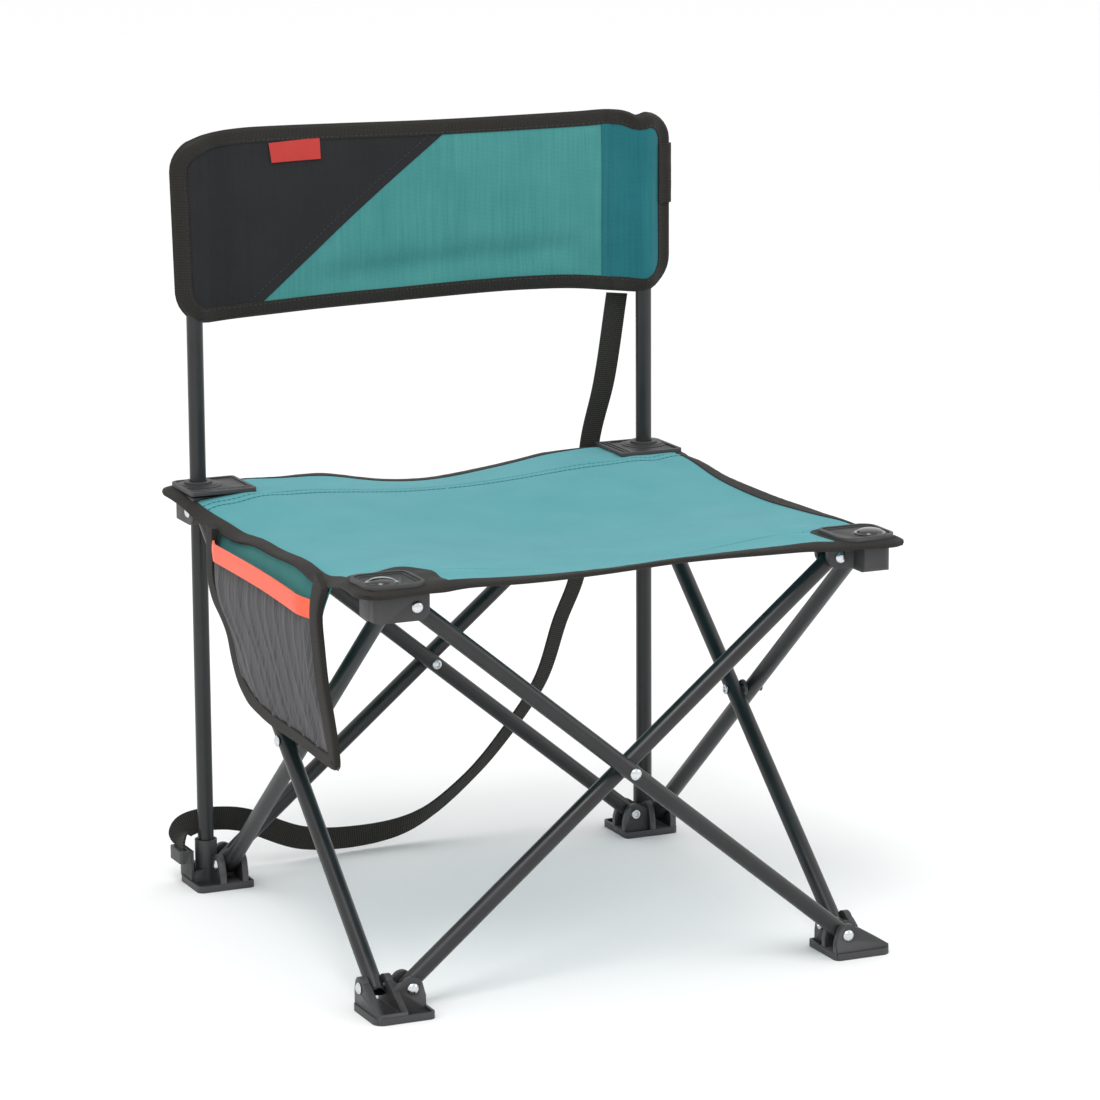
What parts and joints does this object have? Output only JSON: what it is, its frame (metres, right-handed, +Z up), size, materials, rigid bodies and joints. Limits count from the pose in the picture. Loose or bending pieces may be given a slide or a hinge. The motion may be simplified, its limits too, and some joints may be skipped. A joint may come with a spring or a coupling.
{
  "type": "camp stool",
  "caption": "Low folding camp chair: square cloth seat on crossed steel-tube legs with hinged hubs and feet, two posts carrying a cloth backrest, a side mesh pocket and a carrying strap.",
  "frame": {"origin": "on the floor, at the centre of the square of four feet", "axes": "+Z up; the seat's front faces -Y; the side pocket is on -X, the left as seen from in front; the backrest is at +Y"},
  "size_m": [0.3452, 0.3547, 0.469],
  "materials": {
    "painted_tube": "satin anthracite powder coat on round steel tube",
    "moulded_plastic": "matte black moulded nylon with a fine spark texture",
    "gloss_plastic": "glossy black moulded dome",
    "zinc_rivet": "bright zinc-plated steel rivet",
    "seat_cloth": "teal plain-weave polyester cloth",
    "back_cloth_teal": "teal plain-weave polyester cloth, lightly padded",
    "back_cloth_black": "black plain-weave polyester cloth, lightly padded",
    "pocket_mesh": "charcoal knitted mesh, gathered into pleats",
    "webbing": "black ribbed polypropylene webbing",
    "binding": "black-brown ribbed woven binding tape",
    "orange_band": "bright orange-red woven band",
    "red_tag": "plain woven red tag with no marking"
  },
  "bodies": {
    "base": {"rear_left_foot": "moulded_plastic", "rear_left_foot_rivet_outer": "zinc_rivet", "rear_left_foot_rivet_inner": "zinc_rivet", "left_post": "painted_tube", "left_post_cap": "moulded_plastic", "backrest_left_sleeve": "back_cloth_black", "backrest_panel": "back_cloth_teal"},
    "front_inner_leg": {"front_inner_leg": "painted_tube", "front_crossing_rivet": "zinc_rivet", "front_crossing_washer": "moulded_plastic"},
    "front_outer_leg": {"front_outer_leg": "painted_tube"},
    "right_inner_leg": {"right_inner_leg": "painted_tube", "right_crossing_rivet": "zinc_rivet", "right_crossing_washer": "moulded_plastic"},
    "right_outer_leg": {"right_outer_leg": "painted_tube"},
    "rear_inner_leg": {"rear_inner_leg": "painted_tube", "rear_crossing_rivet": "zinc_rivet", "rear_crossing_washer": "moulded_plastic"},
    "rear_outer_leg": {"rear_outer_leg": "painted_tube"},
    "left_inner_leg": {"left_inner_leg": "painted_tube", "left_crossing_rivet": "zinc_rivet", "left_crossing_washer": "moulded_plastic"},
    "left_outer_leg": {"left_outer_leg": "painted_tube"},
    "front_left_hub": {"front_left_hub": "moulded_plastic", "front_left_clamp_plate": "moulded_plastic", "front_left_hub_rivet_outer": "zinc_rivet", "front_left_hub_rivet_inner": "zinc_rivet", "front_left_dome_button": "gloss_plastic", "side_pocket": "pocket_mesh"},
    "front_left_foot": {"front_left_foot": "moulded_plastic", "front_left_foot_rivet_outer": "zinc_rivet", "front_left_foot_rivet_inner": "zinc_rivet"},
    "front_left_seat_quarter": {"front_left_seat_quarter": "seat_cloth"},
    "front_right_hub": {"front_right_hub": "moulded_plastic", "front_right_clamp_plate": "moulded_plastic", "front_right_hub_rivet_outer": "zinc_rivet", "front_right_hub_rivet_inner": "zinc_rivet", "front_right_dome_button": "gloss_plastic"},
    "front_right_foot": {"front_right_foot": "moulded_plastic", "front_right_foot_rivet_outer": "zinc_rivet", "front_right_foot_rivet_inner": "zinc_rivet"},
    "front_right_seat_quarter": {"front_right_seat_quarter": "seat_cloth"},
    "rear_right_hub": {"rear_right_hub": "moulded_plastic", "rear_right_clamp_plate": "moulded_plastic", "rear_right_hub_rivet_outer": "zinc_rivet", "rear_right_hub_rivet_inner": "zinc_rivet"},
    "rear_right_foot": {"rear_right_foot": "moulded_plastic", "rear_right_foot_rivet_outer": "zinc_rivet", "rear_right_foot_rivet_inner": "zinc_rivet", "right_post": "painted_tube", "right_post_cap": "moulded_plastic", "backrest_right_sleeve": "back_cloth_teal"},
    "rear_right_seat_quarter": {"rear_right_seat_quarter": "seat_cloth"},
    "rear_left_hub": {"rear_left_hub": "moulded_plastic", "rear_left_clamp_plate": "moulded_plastic", "rear_left_hub_rivet_outer": "zinc_rivet", "rear_left_hub_rivet_inner": "zinc_rivet"},
    "rear_left_seat_quarter": {"rear_left_seat_quarter": "seat_cloth"},
    "carrying_strap": {"carrying_strap": "webbing"}
  },
  "joints": [
    {"name": "fold", "type": "hinge", "parent": "base", "child": "left_inner_leg", "pos_m": [-0.1403, 0.1355, 0.0146], "axis": [-1, 0, 0], "range_deg": [0, 44], "deforming": ["backrest_left_sleeve", "backrest_panel"]},
    {"name": "left_crossing", "type": "hinge", "parent": "left_inner_leg", "child": "left_outer_leg", "pos_m": [-0.1468, 0, 0.12695], "axis": [1, 0, 0], "range_deg": [0, 88]},
    {"name": "front_left_hub_pivot", "type": "hinge", "parent": "left_inner_leg", "child": "front_left_hub", "pos_m": [-0.1403, -0.1355, 0.2393], "axis": [1, 0, 0], "range_deg": [0, 44], "deforming": ["side_pocket"]},
    {"name": "rear_left_hub_pivot", "type": "hinge", "parent": "left_outer_leg", "child": "rear_left_hub", "pos_m": [-0.1533, 0.1355, 0.2393], "axis": [-1, 0, 0], "range_deg": [0, 44]},
    {"name": "front_left_foot_pivot", "type": "hinge", "parent": "left_outer_leg", "child": "front_left_foot", "pos_m": [-0.1533, -0.1355, 0.0146], "axis": [-1, 0, 0], "range_deg": [0, 44]},
    {"name": "rear_left_foot_pivot", "type": "hinge", "parent": "base", "child": "rear_outer_leg", "pos_m": [-0.1355, 0.1533, 0.0146], "axis": [0, -1, 0], "range_deg": [0, 44]},
    {"name": "rear_crossing", "type": "hinge", "parent": "rear_outer_leg", "child": "rear_inner_leg", "pos_m": [0, 0.1468, 0.12695], "axis": [0, 1, 0], "range_deg": [0, 88]},
    {"name": "rear_right_foot_pivot", "type": "hinge", "parent": "rear_inner_leg", "child": "rear_right_foot", "pos_m": [0.1355, 0.1403, 0.0146], "axis": [0, -1, 0], "range_deg": [0, 44], "deforming": ["backrest_right_sleeve"]},
    {"name": "rear_right_hub_pivot", "type": "hinge", "parent": "rear_outer_leg", "child": "rear_right_hub", "pos_m": [0.1355, 0.1533, 0.2393], "axis": [0, 1, 0], "range_deg": [0, 44]},
    {"name": "front_leg_pivot", "type": "hinge", "parent": "front_left_foot", "child": "front_inner_leg", "pos_m": [-0.1355, -0.1403, 0.0146], "axis": [0, -1, 0], "range_deg": [0, 44]},
    {"name": "front_crossing", "type": "hinge", "parent": "front_inner_leg", "child": "front_outer_leg", "pos_m": [0, -0.1468, 0.12695], "axis": [0, 1, 0], "range_deg": [0, 88]},
    {"name": "front_right_foot_pivot", "type": "hinge", "parent": "front_outer_leg", "child": "front_right_foot", "pos_m": [0.1355, -0.1533, 0.0146], "axis": [0, -1, 0], "range_deg": [0, 44]},
    {"name": "front_right_hub_pivot", "type": "hinge", "parent": "front_inner_leg", "child": "front_right_hub", "pos_m": [0.1355, -0.1403, 0.2393], "axis": [0, 1, 0], "range_deg": [0, 44]},
    {"name": "right_leg_pivot", "type": "hinge", "parent": "front_right_foot", "child": "right_inner_leg", "pos_m": [0.1403, -0.1355, 0.0146], "axis": [1, 0, 0], "range_deg": [0, 44]},
    {"name": "right_crossing", "type": "hinge", "parent": "right_inner_leg", "child": "right_outer_leg", "pos_m": [0.1468, 0, 0.12695], "axis": [-1, 0, 0], "range_deg": [0, 88]},
    {"name": "front_left_seat_drape", "type": "hinge", "parent": "front_left_hub", "child": "front_left_seat_quarter", "pos_m": [-0.132, -0.132, 0.2494], "axis": [-0.7071, 0.7071, 0], "range_deg": [0, 85], "deforming": ["front_left_seat_quarter"]},
    {"name": "front_right_seat_drape", "type": "hinge", "parent": "front_right_hub", "child": "front_right_seat_quarter", "pos_m": [0.132, -0.132, 0.2494], "axis": [-0.7071, -0.7071, 0], "range_deg": [0, 85], "deforming": ["front_right_seat_quarter"]},
    {"name": "rear_right_seat_drape", "type": "hinge", "parent": "rear_right_hub", "child": "rear_right_seat_quarter", "pos_m": [0.132, 0.132, 0.2494], "axis": [0.7071, -0.7071, 0], "range_deg": [0, 85], "deforming": ["rear_right_seat_quarter"]},
    {"name": "rear_left_seat_drape", "type": "hinge", "parent": "rear_left_hub", "child": "rear_left_seat_quarter", "pos_m": [-0.132, 0.132, 0.2494], "axis": [0.7071, 0.7071, 0], "range_deg": [0, 85], "deforming": ["rear_left_seat_quarter"]},
    {"name": "strap_follow", "type": "hinge", "parent": "base", "child": "carrying_strap", "pos_m": [-0.1659, 0.1543, 0.02], "axis": [0, -1, 0], "range_deg": [0, 30.6], "deforming": ["carrying_strap"]}
  ],
  "couplings": [
    {"joint": "left_crossing", "follows": "fold", "ratio": 2},
    {"joint": "front_left_hub_pivot", "follows": "fold", "ratio": 1},
    {"joint": "rear_left_hub_pivot", "follows": "fold", "ratio": 1},
    {"joint": "front_left_foot_pivot", "follows": "fold", "ratio": 1},
    {"joint": "rear_left_foot_pivot", "follows": "fold", "ratio": 1},
    {"joint": "rear_crossing", "follows": "fold", "ratio": 2},
    {"joint": "rear_right_foot_pivot", "follows": "fold", "ratio": 1},
    {"joint": "rear_right_hub_pivot", "follows": "fold", "ratio": 1},
    {"joint": "front_leg_pivot", "follows": "fold", "ratio": 1},
    {"joint": "front_crossing", "follows": "fold", "ratio": 2},
    {"joint": "front_right_foot_pivot", "follows": "fold", "ratio": 1},
    {"joint": "front_right_hub_pivot", "follows": "fold", "ratio": 1},
    {"joint": "right_leg_pivot", "follows": "fold", "ratio": 1},
    {"joint": "right_crossing", "follows": "fold", "ratio": 2},
    {"joint": "front_left_seat_drape", "follows": "fold", "ratio": 1.9318},
    {"joint": "front_right_seat_drape", "follows": "fold", "ratio": 1.9318},
    {"joint": "rear_right_seat_drape", "follows": "fold", "ratio": 1.9318},
    {"joint": "rear_left_seat_drape", "follows": "fold", "ratio": 1.9318},
    {"joint": "strap_follow", "follows": "fold", "ratio": 0.69546}
  ]
}
